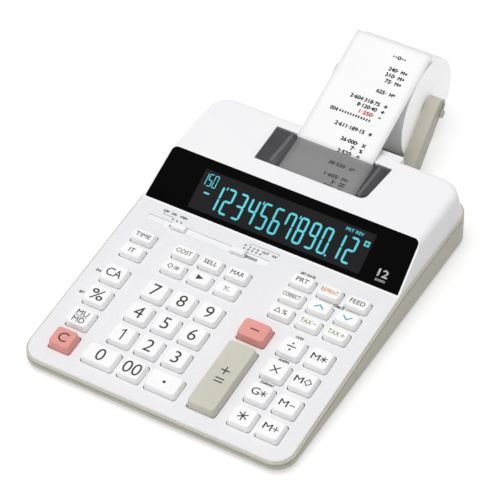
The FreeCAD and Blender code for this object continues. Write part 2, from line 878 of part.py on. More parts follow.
# Printer frame: two side plates on a base, with the paper-feed motor beside the right plate
plate_inner = paper_width / 2 + frame_paper_gap
plate_outer = plate_inner + frame_plate
plate_top = top_z - cover_thickness - ledge_gap
frame_parts = []
for side in (-1, 1):
    near = paper_centre + side * plate_inner
    far = paper_centre + side * plate_outer
    frame_parts.append(box(min(near, far), max(near, far), frame_front, frame_back, floor_top, plate_top))
frame_parts.append(
    box(
        paper_centre - plate_outer,
        paper_centre + plate_outer,
        frame_front,
        frame_back,
        floor_top,
        floor_top + frame_base,
    )
)
motor_start = paper_centre + plate_outer - frame_plate / 2
frame_parts.append(rod_x(motor_start, motor_start + motor_length, motor_y, motor_z, motor_radius))
frame = frame_parts[0].fuse(frame_parts[1:])
spindle_half = plate_outer + 1.0
shaft_bores = []
for y, z in ((platen_y, platen_z), (ink_roller_y, ink_roller_z)):
    radius = platen_shaft_radius + bearing_gap
    shaft_bores.append(rod_x(paper_centre - spindle_half, paper_centre + spindle_half, y, z, radius))
save("printer_frame", frame.cut(shaft_bores).removeSplitter())


def roller(y, z, radius, length):
    """Roller on a shaft that runs in both side plates."""
    drum = rod_x(paper_centre - length / 2, paper_centre + length / 2, y, z, radius)
    shaft = rod_x(paper_centre - plate_outer, paper_centre + plate_outer, y, z, platen_shaft_radius)
    return drum.fuse(shaft).removeSplitter()


platen_length = paper_width + 2 * platen_overhang
ink_length = paper_width - 2 * ink_roller_shortfall
save("platen_roller", roller(platen_y, platen_z, platen_radius, platen_length))
save("ink_roller", roller(ink_roller_y, ink_roller_z, ink_roller_radius, ink_length))

# Printer cover: smoked plate with a hinge barrel in front and the cutter edge behind
barrel_half = cover_front_width / 2
plate = cover_plan(0.0, hinge_y, cover_back, top_z - cover_thickness, top_z)
notch_half = cover_notch_width / 2
notch_front = cover_back - cover_notch_depth
plate = plate.cut(
    box(paper_centre - notch_half, paper_centre + notch_half, notch_front, cover_back + 1.0, 0, 2 * top_z)
)
barrel = rod_x(cover_centre - barrel_half, cover_centre + barrel_half, hinge_y, hinge_z, hinge_radius)
pin_half = cover_front_width / 2 + hinge_pin_length
pins = rod_x(cover_centre - pin_half, cover_centre + pin_half, hinge_y, hinge_z, hinge_pin_radius)
cover = plate.fuse(barrel).common(rounded_plan(cover_gap, parting_level, top_z))
for side, radius in ((-1, cover_left_radius), (1, cover_right_radius)):
    corner_reach = radius - math.sqrt(radius**2 - (radius - cover_gap) ** 2) + cover_gap
    inner = cover_centre + side * (cover_front_width / 2 - corner_reach)
    outer = cover_centre + side * cover_front_width
    relief_back = hinge_y + hinge_radius + cover_gap
    relief = box(min(inner, outer), max(inner, outer), cover_front, relief_back, parting_level, 2 * top_z)
    cover = cover.cut(relief)
save("printer_cover", cover.fuse(pins).removeSplitter())

# Paper roll on its core
roll = rod_x(paper_centre - roll_half, paper_centre + roll_half, roll_y, roll_z, roll_radius)
roll = roll.cut(rod_x(paper_centre - body_width, paper_centre + body_width, roll_y, roll_z, core_radius))
save("paper_roll", roll)


def ribbon_line(start, end):
    """Flat stretch of paper between two (y, z) points."""
    way = math.atan2(end[1] - start[1], end[0] - start[0])
    out_y = -math.sin(way) * paper_thickness / 2
    out_z = math.cos(way) * paper_thickness / 2
    outline = [
        (start[0] + out_y, start[1] + out_z),
        (end[0] + out_y, end[1] + out_z),
        (end[0] - out_y, end[1] - out_z),
        (start[0] - out_y, start[1] - out_z),
    ]
    return prism_x(outline, paper_centre - roll_half, paper_centre + roll_half)


def on_circle(centre, radius, angle):
    """Point (y, z) of a circle at an angle in degrees, counted from +Y towards +Z."""
    turn = math.radians(angle)
    return (centre[0] + radius * math.cos(turn), centre[1] + radius * math.sin(turn))


def arc_edge(x, centre, radius, first, last):
    """Arc in the plane at x, about a (y, z) centre, between two angles in degrees."""
    points = []
    for angle in (first, (first + last) / 2, last):
        y, z = on_circle(centre, radius, angle)
        points.append(FreeCAD.Vector(x, y, z))
    return Part.Arc(points[0], points[1], points[2]).toShape()


def ribbon_arc(centre, radius, first, last):
    """Curved stretch of paper about a (y, z) centre, between two angles in degrees."""
    left = paper_centre - roll_half
    outer = arc_edge(left, centre, radius + paper_thickness / 2, first, last)
    inner = arc_edge(left, centre, radius - paper_thickness / 2, first, last)
    first_end = Part.makeLine(outer.firstVertex().Point, inner.firstVertex().Point)
    last_end = Part.makeLine(outer.lastVertex().Point, inner.lastVertex().Point)
    face = Part.Face(Part.Wire(Part.sortEdges([outer, first_end, inner, last_end])[0]))
    return face.extrude(FreeCAD.Vector(paper_width, 0, 0))


def fold(point):
    """Rounded crease where two flat stretches meet at a (y, z) point."""
    return rod_x(paper_centre - roll_half, paper_centre + roll_half, point[0], point[1], paper_thickness / 2)


def touch_angle(point, centre, radius, side):
    """Angle on a circle where a straight line from a point meets it, on the upper or lower side."""
    gap_y = point[0] - centre[0]
    gap_z = point[1] - centre[1]
    swing = math.acos(radius / math.hypot(gap_y, gap_z))
    return math.degrees(math.atan2(gap_z, gap_y) - side * swing)


# Paper path: from the roll's underside in at the rear, round the platen and out at the cutter;
# the printed end lies straight on the top of the roll and stands free behind it
roll_hub = (roll_y, roll_z)
wrap_radius = roll_radius + paper_gap + paper_thickness / 2
platen_hub = (platen_y, platen_z)
platen_wrap = platen_radius + paper_gap + paper_thickness / 2
inlet = (body_depth, inlet_z)
exit_y = notch_front + paper_gap + paper_thickness / 2
throat = (exit_y, top_z - cover_thickness - throat_drop)
cutter = (exit_y, top_z + paper_gap)
under = touch_angle(inlet, roll_hub, wrap_radius, -1)
entry = touch_angle(inlet, platen_hub, platen_wrap, 1)
leave = touch_angle(throat, platen_hub, platen_wrap, -1)
rest_point = on_circle(roll_hub, wrap_radius, touch_angle(cutter, roll_hub, wrap_radius, 1))
rise = math.atan2(rest_point[1] - cutter[1], rest_point[0] - cutter[0])
strip_end = (cutter[0] + strip_reach * math.cos(rise), cutter[1] + strip_reach * math.sin(rise))
paper = [
    ribbon_line(on_circle(roll_hub, wrap_radius, under), inlet),
    fold(inlet),
    ribbon_line(inlet, on_circle(platen_hub, platen_wrap, entry)),
    ribbon_arc(platen_hub, platen_wrap, leave, entry + 360.0 if entry < leave else entry),
    ribbon_line(on_circle(platen_hub, platen_wrap, leave), throat),
    fold(throat),
    ribbon_line(throat, cutter),
    fold(cutter),
    ribbon_line(cutter, strip_end),
]
save("paper_strip", paper[0].fuse(paper[1:]).removeSplitter())

# Roll holder: two channel-shaped arms with pins, joined by a bridge behind the case
head_hub = (roll_y - arm_head_forward, roll_z + arm_head_rise)


def arm_outline(inset):
    """Side outline of an arm; inset moves its upper edge and head inwards."""
    bend = (arm_bend, root_high - inset)
    radius = arm_head_radius - inset
    crown = on_circle(head_hub, radius, touch_angle(bend, head_hub, radius, 1))
    heel = (arm_heel, arm_heel_height)
    nape = on_circle(head_hub, arm_head_radius, touch_angle(heel, head_hub, arm_head_radius, -1))
    return [bend, crown, nape, heel, (arm_bend, root_low)]


def arm(side):
    """One arm: root in its socket, heel near the table, and a round head at the roll's axis."""
    near = paper_centre + side * arm_inner
    far = paper_centre + side * arm_outer
    web = far - side * arm_pocket
    low_x = min(near, far)
    high_x = max(near, far)
    root = box(low_x, high_x, socket_front + socket_gap, arm_bend, root_low, root_high)
    blade = prism_x(arm_outline(0.0), low_x, high_x)
    head = rod_x(low_x, high_x, head_hub[0], head_hub[1], arm_head_radius)
    pocket = prism_x(arm_outline(arm_flange), min(web, far), max(web, far))
    scoop = rod_x(min(web, far), max(web, far), head_hub[0], head_hub[1], arm_head_radius - arm_flange)
    tip = near - side * (holder_gap + pin_reach)
    pin = rod_x(min(near, tip), max(near, tip), roll_y, roll_z, core_radius - pin_clearance)
    end = web + side * pin_cap_length
    cap = rod_x(min(web, end), max(web, end), roll_y, roll_z, pin_cap_radius)
    return blade.fuse([root, head]).cut(pocket).cut(scoop).fuse([pin, cap])


bridge = box(
    paper_centre - arm_inner - 1.0,
    paper_centre + arm_inner + 1.0,
    body_depth + bridge_front,
    body_depth + bridge_front + bridge_length,
    root_low,
    root_low + bridge_height,
)
save("roll_holder", arm(-1).fuse([arm(1), bridge]).removeSplitter())
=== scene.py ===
import json
import math

import bmesh
import bpy
from mathutils import Matrix, Vector
from mathutils.bvhtree import BVHTree


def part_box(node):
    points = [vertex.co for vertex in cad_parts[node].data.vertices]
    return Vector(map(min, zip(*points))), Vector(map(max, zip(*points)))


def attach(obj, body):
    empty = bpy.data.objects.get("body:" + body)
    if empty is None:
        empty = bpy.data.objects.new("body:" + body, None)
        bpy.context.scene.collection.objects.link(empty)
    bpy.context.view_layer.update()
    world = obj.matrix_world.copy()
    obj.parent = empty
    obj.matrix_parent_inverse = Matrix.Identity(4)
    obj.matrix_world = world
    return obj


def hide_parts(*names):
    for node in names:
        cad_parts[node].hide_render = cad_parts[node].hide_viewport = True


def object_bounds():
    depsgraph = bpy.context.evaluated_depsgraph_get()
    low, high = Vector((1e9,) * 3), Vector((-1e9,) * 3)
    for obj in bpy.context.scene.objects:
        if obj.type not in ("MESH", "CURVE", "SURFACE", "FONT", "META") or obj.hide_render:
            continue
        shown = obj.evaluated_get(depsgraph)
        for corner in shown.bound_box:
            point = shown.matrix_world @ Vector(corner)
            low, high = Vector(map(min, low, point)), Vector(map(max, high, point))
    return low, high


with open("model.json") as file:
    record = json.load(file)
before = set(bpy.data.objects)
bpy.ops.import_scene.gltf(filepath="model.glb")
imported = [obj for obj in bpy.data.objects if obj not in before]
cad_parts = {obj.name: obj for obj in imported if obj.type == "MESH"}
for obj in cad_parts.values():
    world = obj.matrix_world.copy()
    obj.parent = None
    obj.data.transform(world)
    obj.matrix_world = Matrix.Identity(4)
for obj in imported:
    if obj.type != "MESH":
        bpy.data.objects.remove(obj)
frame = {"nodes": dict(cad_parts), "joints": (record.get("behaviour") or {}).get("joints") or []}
cad_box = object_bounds()

# Rubber feet
# Four round pads with bevelled edges, moulded in soft black rubber and glued under the lower case.
# The calculator rests on them. The rubber is matt and a little uneven in tone.
mm = 0.001
plastic_gloss = 0.35


def colour(red, green, blue):
    """Colour of a finish from its screen levels, 0 to 255."""
    levels = []
    for level in (red, green, blue):
        share = level / 255
        levels.append(share / 12.92 if share <= 0.04045 else ((share + 0.055) / 1.055) ** 2.4)
    return (*levels, 1.0)


def effect_group(name, inputs, outputs):
    """Empty shader group with named sockets, and its two end nodes."""
    group = bpy.data.node_groups.new(name, "ShaderNodeTree")
    for label, kind in inputs:
        group.interface.new_socket(label, in_out="INPUT", socket_type=kind)
    for label, kind in outputs:
        group.interface.new_socket(label, in_out="OUTPUT", socket_type=kind)
    return group, group.nodes.new("NodeGroupInput"), group.nodes.new("NodeGroupOutput")


def feed(tree, node, links):
    """Link a node's inputs to sockets, or set them to plain values."""
    for socket, source in links:
        if hasattr(source, "is_output"):
            tree.links.new(source, node.inputs[socket])
        else:
            node.inputs[socket].default_value = source


def add_node(tree, kind, links=(), **values):
    """Shader node with its plain values set and its inputs fed."""
    node = tree.nodes.new(kind)
    for key, value in values.items():
        setattr(node, key, value)
    feed(tree, node, links)
    return node


def worked(tree, operation, *values):
    """Result of one operation on some sockets or numbers."""
    return add_node(tree, "ShaderNodeMath", enumerate(values), operation=operation).outputs[0]


def ranged(tree, value, low, high, low_result=0.0, high_result=1.0):
    """Result that follows a value from one limit to the other."""
    limits = (("From Min", low), ("From Max", high), ("To Min", low_result), ("To Max", high_result))
    return add_node(tree, "ShaderNodeMapRange", (("Value", value), *limits)).outputs[0]


def blend(tree, share, first, second):
    """Colour that goes from the first to the second as the share grows."""
    links = (("Factor", share), (6, first), (7, second))
    return add_node(tree, "ShaderNodeMix", links, data_type="RGBA").outputs[2]


def noise(tree, place, scale, detail):
    """Cloudy value over the surface."""
    links = (("Vector", place), ("Scale", scale), ("Detail", detail))
    return add_node(tree, "ShaderNodeTexNoise", links).outputs["Fac"]


def relief_on(tree, height, depth, *under):
    """Normal of a surface with a relief of some depth, over another relief if one is given."""
    links = [("Height", height), ("Distance", depth)] + [("Normal", below) for below in under]
    return add_node(tree, "ShaderNodeBump", links).outputs["Normal"]


# Mould grain: fine spark-eroded pitting, slow tone drift and uneven gloss, in object space.
number = "NodeSocketFloat"
tint = "NodeSocketColor"
drift_scale = 34.0
speckle_span = (0.12, 0.38)
drift_span = (0.3, 0.7)
mould_grain, grain_in, grain_out = effect_group(
    "mould_grain",
    (("Light Colour", tint), ("Dark Colour", tint), ("Grain", number), ("Smooth", number), ("Matt", number)),
    (("Colour", tint), ("Roughness", number), ("Height", number)),
)
place = add_node(mould_grain, "ShaderNodeTexCoord").outputs["Object"]
pits = noise(mould_grain, place, grain_in.outputs["Grain"], 3.0)
drift = noise(mould_grain, place, drift_scale, 2.0)
speckle = worked(mould_grain, "MULTIPLY", pits, drift)
tone = ranged(mould_grain, speckle, *speckle_span)
shade = blend(mould_grain, tone, grain_in.outputs["Dark Colour"], grain_in.outputs["Light Colour"])
gloss = ranged(mould_grain, drift, *drift_span, grain_in.outputs["Smooth"], grain_in.outputs["Matt"])
feed(mould_grain, grain_out, (("Colour", shade), ("Roughness", gloss), ("Height", pits)))


def new_finish(name):
    """New material, its node tree and its shader."""
    material = bpy.data.materials.new(name)
    material.use_nodes = True
    return material, material.node_tree, material.node_tree.nodes["Principled BSDF"]


def grained(name, light, dark, grain, smooth, matt):
    """New material with the mould grain's gloss: it, its tree, its shader and the grain's outputs."""
    material, tree, shader = new_finish(name)
    links = (("Light Colour", colour(*light)), ("Dark Colour", colour(*dark)))
    links += (("Grain", grain), ("Smooth", smooth), ("Matt", matt))
    skin = add_node(tree, "ShaderNodeGroup", links, node_tree=mould_grain).outputs
    feed(tree, shader, (("Roughness", skin["Roughness"]),))
    return material, tree, shader, skin


def moulded(name, light, dark, grain, smooth, matt, depth):
    """Moulded plastic or rubber, with screen levels of its two tones and its pitting's depth in mm."""
    material, tree, shader, skin = grained(name, light, dark, grain, smooth, matt)
    pitting = relief_on(tree, skin["Height"], depth * mm)
    feed(tree, shader, (("Base Color", skin["Colour"]), ("Normal", pitting)))
    shader.inputs["Specular IOR Level"].default_value = plastic_gloss
    return material


def dress(node, material):
    """Give a piece of the frame its finish."""
    shape = frame["nodes"][node]
    if not shape.material_slots:
        shape.data.materials.append(material)
    for holder in shape.material_slots:
        holder.material = material


foot_rubber = moulded("foot_rubber", (62, 61, 60), (40, 40, 41), 900, 0.7, 0.9, 0.05)
dress("rubber_feet", foot_rubber)

# Lower case
# The beige tray that carries everything, injection moulded in filled plastic with a fine matt grain.
# Six screws from below hold it to the white upper case. A shallow groove runs round it under the rim.
case_beige = moulded("case_beige", (196, 193, 179), (186, 183, 169), 1400, 0.42, 0.6, 0.03)
dress("lower_case", case_beige)

# Roll holder
# Two bent arms, each with a shallow recess in its outer face and a pin at its end, moulded in one
# with the bridge in the same beige plastic. The roots snap into sockets in the case's rear wall.
dress("roll_holder", case_beige)

# Case screws
# Six cross-head screws of zinc-plated steel, sunk in the floor of the lower case.
# The plating is bright, with a fine grain and a little smear in its gloss.
screw_steel = moulded("screw_steel", (176, 178, 180), (140, 142, 146), 2200, 0.25, 0.45, 0.02)
screw_steel.node_tree.nodes["Principled BSDF"].inputs["Metallic"].default_value = 1.0
dress("case_screws", screw_steel)

# Works inside the case
# A glass-fibre board, a sheet of silicone key domes, the display module and the printer's frame
# and rollers. They are held between the two halves and show only through the gaps and the cover.
board_green = moulded("board_green", (42, 92, 60), (26, 70, 46), 700, 0.3, 0.5, 0.03)
mat_rubber = moulded("mat_rubber", (150, 152, 154), (128, 130, 133), 600, 0.6, 0.8, 0.05)
module_dark = moulded("module_dark", (34, 34, 36), (22, 22, 24), 900, 0.35, 0.5, 0.02)
frame_plastic = moulded("frame_plastic", (170, 170, 172), (156, 156, 158), 900, 0.4, 0.6, 0.04)
roller_rubber = moulded("roller_rubber", (48, 48, 50), (30, 30, 32), 1200, 0.6, 0.85, 0.04)
ink_felt = moulded("ink_felt", (70, 40, 84), (42, 22, 54), 2600, 0.85, 0.98, 0.12)
dress("main_board", board_green)
dress("keypad_mat", mat_rubber)
dress("display_module", module_dark)
dress("printer_frame", frame_plastic)
dress("platen_roller", roller_rubber)
dress("ink_roller", ink_felt)

# Upper case
# One white moulding: the sloping key deck with a fine diagonal weave cut into its mould, and the
# smooth raised rear part. It is screwed down on the lower case and holds the keys and the window.
# The low places of the weave are painted a bluish grey as painted shade.
deck_length = 147.0 * mm
key_height = 4.5 * mm
weave_pitch = 1.5 * mm
weave_depth = 0.07 * mm
weave_band = 0.12 * mm
weave_painted_shade_depth = 0.8
white_pit_depth = 0.012 * mm


def joint_named(name):
    """Joint of the frame by its name."""
    return next(joint for joint in frame["joints"] if joint["name"] == name)


def axes_frame(right, rise, normal, origin):
    """Matrix that stands a drawing on a plane, from the plane's axes and origin."""
    columns = [(*axis, 0) for axis in (right, rise, normal)] + [(*origin, 1)]
    return Matrix(columns).transposed()


def flat_axes(tree, place_frame):
    """Coordinates of the surface along a plane's axes, as X, Y and Z outputs."""
    spot = add_node(tree, "ShaderNodeTexCoord").outputs["Object"]
    links = (("Vector", spot), ("Location", place_frame.translation), ("Rotation", place_frame.to_euler()))
    turned = add_node(tree, "ShaderNodeMapping", links, vector_type="TEXTURE").outputs[0]
    return add_node(tree, "ShaderNodeSeparateXYZ", (("Vector", turned),)).outputs


deck_normal = -Vector(joint_named("key_digit_5_press")["axis"]).normalized()
across = Vector((1, 0, 0))
deck_rise = deck_normal.cross(across)
key_top_level = max(vertex.co.dot(deck_normal) for vertex in frame["nodes"]["key_digit_5"].data.vertices)
deck_level = key_top_level - key_height
case_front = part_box("lower_case")[0].y
front_height = (deck_level - case_front * deck_normal.y) / deck_normal.z
deck_frame = axes_frame(across, deck_rise, deck_normal, (0, case_front, front_height))

upper_white, white_tree, white_shader, white_skin = grained(
    "upper_white", (245, 245, 246), (241, 241, 243), 1500, 0.34, 0.46
)
deck_axes = flat_axes(white_tree, deck_frame)
off_plane = worked(white_tree, "ABSOLUTE", deck_axes["Z"])
near_plane = worked(white_tree, "LESS_THAN", off_plane, weave_band)
before_panel = worked(white_tree, "LESS_THAN", deck_axes["Y"], deck_length)
weave = worked(white_tree, "MULTIPLY", near_plane, before_panel)
thread_turns = 2 * math.pi / (weave_pitch * math.sqrt(2))
for direction in (1, -1):
    slant = worked(white_tree, "MULTIPLY_ADD", deck_axes["X"], direction, deck_axes["Y"])
    thread = worked(white_tree, "SINE", worked(white_tree, "MULTIPLY", slant, thread_turns))
    weave = worked(white_tree, "MULTIPLY", weave, thread)
# Painted shade: the weave's low places are coloured towards a bluish grey, darker the lower they lie.
weave_painted_shade = ranged(white_tree, weave, 0.0, -weave_painted_shade_depth)
white_mix = blend(white_tree, weave_painted_shade, white_skin["Colour"], colour(208, 209, 216))
white_pits = relief_on(white_tree, white_skin["Height"], white_pit_depth)
white_weave = relief_on(white_tree, weave, weave_depth, white_pits)
feed(white_tree, white_shader, (("Base Color", white_mix), ("Normal", white_weave)))
white_shader.inputs["Specular IOR Level"].default_value = 0.3
dress("upper_case", upper_white)

# Display window
# A flush pane of gloss black acrylic, taped into its recess; only the middle is left clear, over
# the dark grey face of the display. Its lower corners are square and its upper ones rounded.
panel_tilt = math.radians(28.9)
pane_margin = 0.7 * mm
screen_limits = (
    ("X", "GREATER_THAN", -63.5 * mm), ("X", "LESS_THAN", 64.4 * mm),
    ("Y", "GREATER_THAN", 4.1 * mm), ("Y", "LESS_THAN", 32.6 * mm),
)
panel_normal = Vector((0, -math.sin(panel_tilt), math.cos(panel_tilt)))
panel_rise = Vector((0, math.cos(panel_tilt), math.sin(panel_tilt)))
pane = [vertex.co for vertex in frame["nodes"]["display_window"].data.vertices]
pane_level = max(point.dot(panel_normal) for point in pane)
pane_foot = min(point.dot(panel_rise) for point in pane)
panel_origin = panel_normal * pane_level + panel_rise * (pane_foot - pane_margin)
panel_frame = axes_frame(across, panel_rise, panel_normal, panel_origin)

pane_black, pane_tree, pane_shader, pane_skin = grained(
    "pane_black", (38, 37, 39), (33, 32, 34), 1800, 0.06, 0.1
)
pane_axes = flat_axes(pane_tree, panel_frame)
screen_mask = 1.0
for axis, side, edge in screen_limits:
    inside = worked(pane_tree, side, pane_axes[axis], edge)
    screen_mask = worked(pane_tree, "MULTIPLY", inside, screen_mask)
pane_mix = blend(pane_tree, screen_mask, colour(2, 2, 2), pane_skin["Colour"])
feed(pane_tree, pane_shader, (("Base Color", pane_mix), ("Specular IOR Level", 0.008)))
dress("display_window", pane_black)

# Lit figures of the display
# Seven-segment figures with their commas, point and minus, and a small three-figure counter.
# They glow pale blue-green, as one thin layer of bars with pointed ends just proud of the window.
print_lift = 0.03 * mm


def finished(name, shape, material):
    """Piece of the scene from a drawn shape, in one finish."""
    mesh = bpy.data.meshes.new(name)
    shape.to_mesh(mesh)
    shape.free()
    mesh.materials.append(material)
    piece = bpy.data.objects.new(name, mesh)
    bpy.context.scene.collection.objects.link(piece)
    return piece


def printed(name, outlines, surface, material, body):
    """Thin layer of outlines drawn in millimetres; surface gives the point for each place on it."""
    shape = bmesh.new()
    for outline in outlines:
        shape.faces.new([shape.verts.new(surface(x * mm, y * mm)) for x, y in outline])
    piece = finished(name, shape, material)
    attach(piece, body)


def proud_of(place_frame):
    """Flat surface just proud of a plane, as a function of the place on it."""

    def surface(x, y):
        return place_frame @ Vector((x, y, print_lift))

    return surface


def shifted(outlines, x, y):
    """Outlines moved over the surface."""
    return [[(point[0] + x, point[1] + y) for point in outline] for outline in outlines]


def disc(radius, corners=16):
    """Round dot."""
    turns = [step * 2 * math.pi / corners for step in range(corners)]
    return [[(radius * math.cos(turn), radius * math.sin(turn)) for turn in turns]]


def bar(start, end, width):
    """Straight segment with pointed ends, as a six-cornered outline."""
    first = Vector(start)
    last = Vector(end)
    along = (last - first).normalized()
    side = Vector((-along.y, along.x)) * width / 2
    tip = along * width / 2
    return [first, first + tip - side, last - tip - side, last, last - tip + side, first + tip + side]


segments = {
    "0": "abcdef", "1": "bc", "2": "abged", "3": "abgcd", "4": "fgbc",
    "5": "afgcd", "6": "afgedc", "7": "fabc", "8": "abcdefg", "9": "abcdfg",
}


def figure(sign, left, low, width, height, thick):
    """Segments of one figure standing on its low left corner."""
    x0 = left + thick / 2
    x1 = left + width - thick / 2
    y0 = low + thick / 2
    y2 = low + height - thick / 2
    y1 = (y0 + y2) / 2
    ends = {
        "a": ((x0, y2), (x1, y2)), "b": ((x1, y1), (x1, y2)), "c": ((x1, y0), (x1, y1)),
        "d": ((x0, y0), (x1, y0)), "e": ((x0, y0), (x0, y1)), "f": ((x0, y1), (x0, y2)),
        "g": ((x0, y1), (x1, y1)),
    }
    return [bar(*ends[segment], thick) for segment in segments[sign]]


figure_pitch = 9.16
figure_width = 6.5
figure_height = 18.9
figure_low = 7.1
figure_thick = 1.5
first_right = -45.0
comma_places = (0, 3, 6)
comma_gap = 1.6
comma_low = 23.6
comma_high = 26.2
comma_lean = 0.5
comma_thick = 0.9
point_place = 9
point_gap = 0.9
point_level = 7.5
point_radius = 0.75
minus_level = 17.0
minus_left = -57.8
minus_right = -53.2
minus_thick = 1.2
tally_left = -62.6
tally_pitch = 3.9
tally_low = 21.6
tally_width = 3.1
tally_height = 9.0
tally_thick = 0.6
lit = []
for place_number, sign in enumerate("123456789012"):
    right = first_right + place_number * figure_pitch
    lit += figure(sign, right - figure_width, figure_low, figure_width, figure_height, figure_thick)
    if place_number in comma_places:
        comma = right + comma_gap
        lit.append(bar((comma, comma_low), (comma + comma_lean, comma_high), comma_thick))
    if place_number == point_place:
        lit += shifted(disc(point_radius, 12), right + point_gap, point_level)
lit.append(bar((minus_left, minus_level), (minus_right, minus_level), minus_thick))
for place_number, sign in enumerate("150"):
    left = tally_left + tally_pitch * place_number
    lit += figure(sign, left, tally_low, tally_width, tally_height, tally_thick)

figure_glow, glow_tree, glow_shader, glow_skin = grained(
    "figure_glow", (104, 222, 232), (84, 204, 218), 900, 0.3, 0.4
)
feed(glow_tree, glow_shader, (("Emission Color", glow_skin["Colour"]), ("Emission Strength", 0.95)))
feed(glow_tree, glow_shader, (("Base Color", (0.01, 0.03, 0.03, 1.0)), ("Specular IOR Level", 0.04)))
printed("lit_figures", lit, proud_of(panel_frame), figure_glow, "case")

# Printed words on the deck and the window
# Screen-printed ink, dark grey for switch and key notes and white for the capacity. Letters are flat
# outlines of the built-in sans face just proud of the surface, and so are the display's lit signs.
note_height = 1.7
note_bold = 0.13
note_line = 0.28
mitre_limit = 0.35


def letters(words, height, width=None, bold=0.06):
    """Flat triangles of some words, centred on the origin; bold thickens their strokes to each side."""
    curve = bpy.data.curves.new("letters", "FONT")
    curve.body = words
    curve.resolution_u = 4
    holder = bpy.data.objects.new("letters", curve)
    bpy.context.scene.collection.objects.link(holder)
    ready = holder.evaluated_get(bpy.context.evaluated_depsgraph_get())
    mesh = bpy.data.meshes.new_from_object(ready)
    points = [(vertex.co.x, vertex.co.y) for vertex in mesh.vertices]
    faces = [list(face.vertices) for face in mesh.polygons]
    bpy.data.objects.remove(holder)
    bpy.data.curves.remove(curve)
    bpy.data.meshes.remove(mesh)
    low_x = min(x for x, y in points)
    high_x = max(x for x, y in points)
    low_y = min(y for x, y in points)
    high_y = max(y for x, y in points)
    grow_y = height / (high_y - low_y)
    grow_x = width / (high_x - low_x) if width else grow_y
    middle = ((low_x + high_x) / 2, (low_y + high_y) / 2)
    spread = [((x - middle[0]) * grow_x, (y - middle[1]) * grow_y) for x, y in points]
    plain = [[spread[index] for index in face] for face in faces]
    steps = ((bold, 0), (-bold, 0), (0, bold), (0, -bold)) if bold else ((0, 0),)
    return [outline for step in steps for outline in shifted(plain, *step)]


def stroke(points, width, closed=False):
    """Line of even width through some points, as flat quads with mitred corners."""
    line = [Vector(point) for point in points]
    count = len(line)
    sides = []
    for index, point in enumerate(line):
        ways = []
        if closed or index > 0:
            ways.append((point - line[index - 1]).normalized())
        if closed or index < count - 1:
            ways.append((line[(index + 1) % count] - point).normalized())
        mean = sum(ways, Vector((0, 0))).normalized()
        normal = Vector((-mean.y, mean.x))
        stretch = max(mitre_limit, normal.dot(Vector((-ways[0].y, ways[0].x))))
        sides.append((point + normal * width / 2 / stretch, point - normal * width / 2 / stretch))
    quads = []
    for index in range(count if closed else count - 1):
        upper, lower = sides[index]
        next_upper, next_lower = sides[(index + 1) % count]
        quads.append([lower, next_lower, next_upper, upper])
    return quads


def ink(name, light, dark):
    """Printed ink: a thin film, slightly mottled in tone."""
    return moulded(name, light, dark, 2400, 0.5, 0.62, 0.004)


ink_grey = ink("ink_grey", (50, 50, 51), (42, 42, 43))
ink_white = ink("ink_white", (236, 236, 236), (222, 222, 224))
deck_words = (
    ("OFF", -74.7, 143.2), ("ON", -68.6, 143.2), ("ITEM", -61.2, 143.2), ("F", -13.0, 141.3),
    ("3", -9.3, 141.3), ("2", -6.5, 141.3), ("0", -3.6, 141.3), ("CUT", 2.0, 141.3), ("5/4", 8.6, 141.3),
    ("SET", -87.6, 60.1), ("ON", -87.6, 80.2), ("12/24", 56.1, 91.0),
    ("AM/PM", 56.0, 70.6), ("FORMAT", 56.1, 50.4), ("CHECK", 65.8, 123.6), ("SET DATE", 35.8, 137.7),
)
deck_notes = []
for words, x, y in deck_words:
    deck_notes += shifted(letters(words, note_height, bold=note_bold), x, y)
pointer_half = 0.9
pointer_drop = 1.5
pointer_level = 139.4
pointer_places = [-67.0, -63.8, -60.5] + [-12.6 + 3 * step for step in range(5)]
for x in pointer_places:
    tip = (x, pointer_level - pointer_drop)
    deck_notes.append([tip, (x + pointer_half, pointer_level), (x - pointer_half, pointer_level)])
off_bracket = ((-75.0, 142.0), (-75.0, 140.4), (-67.0, 140.4))
round_bracket = ((-10.6, 142.4), (-10.6, 144.0), (10.9, 144.0), (10.9, 142.4))
check_lines = (((51.5, 123.9), (60.4, 123.9)), ((71.2, 123.9), (80.9, 123.9)))
for route in (off_bracket, round_bracket, *check_lines):
    deck_notes += stroke(route, note_line)
printed("deck_print", deck_notes, proud_of(deck_frame), ink_grey, "case")
capacity_x = 79.6
capacity = shifted(letters("12", 5.0, 7.0, 0.2), capacity_x, 10.4)
capacity += shifted(letters("DIGITS", 1.4, 6.8), capacity_x, 5.4)
printed("window_print", capacity, proud_of(panel_frame), ink_white, "case")
signs = shifted(letters("PRT REV", 2.2, 13.0), 50.0, 29.4)
box_x = 61.0
box_y = 24.6
box_half = 1.9
cross_half = 0.35
cross_reach = 1.3
corner = [(cross_half, cross_half), (cross_reach, cross_half), (cross_reach, 0), (box_half, 0)]
corner += [(box_half, box_half), (0, box_half), (0, cross_reach), (cross_half, cross_reach)]
for side, end in ((1, 1), (1, -1), (-1, 1), (-1, -1)):
    signs.append([(box_x + side * x, box_y + end * y) for x, y in corner])
printed("lit_signs", signs, proud_of(panel_frame), figure_glow, "case")

# Keys
# Hollow caps moulded in white, rose and beige plastic, with leaning sides, a rolled top edge and a
# shallow dish for the finger. Each drops into its hole from behind and stands on a rubber dome.
key_taper = 1.0 * mm
key_corner = 2.4 * mm
key_roll = 0.9 * mm
key_dish = 0.45 * mm
key_skirt = 1.2 * mm
flange_reach = 0.8 * mm
legend_lift = 0.02 * mm
waist_share = 0.35
roll_steps = 6


def rounded_loop(half_width, half_length, radius, steps=6):
    """Points of a rectangle with round corners, anticlockwise."""
    points = []
    centres = ((1, -1), (1, 1), (-1, 1), (-1, -1))
    for quarter, (side, end) in enumerate(centres):
        for step in range(steps + 1):
            turn = math.pi / 2 * (quarter - 1 + step / steps)
            x = side * (half_width - radius) + radius * math.cos(turn)
            y = end * (half_length - radius) + radius * math.sin(turn)
            points.append((x, y))
    return points


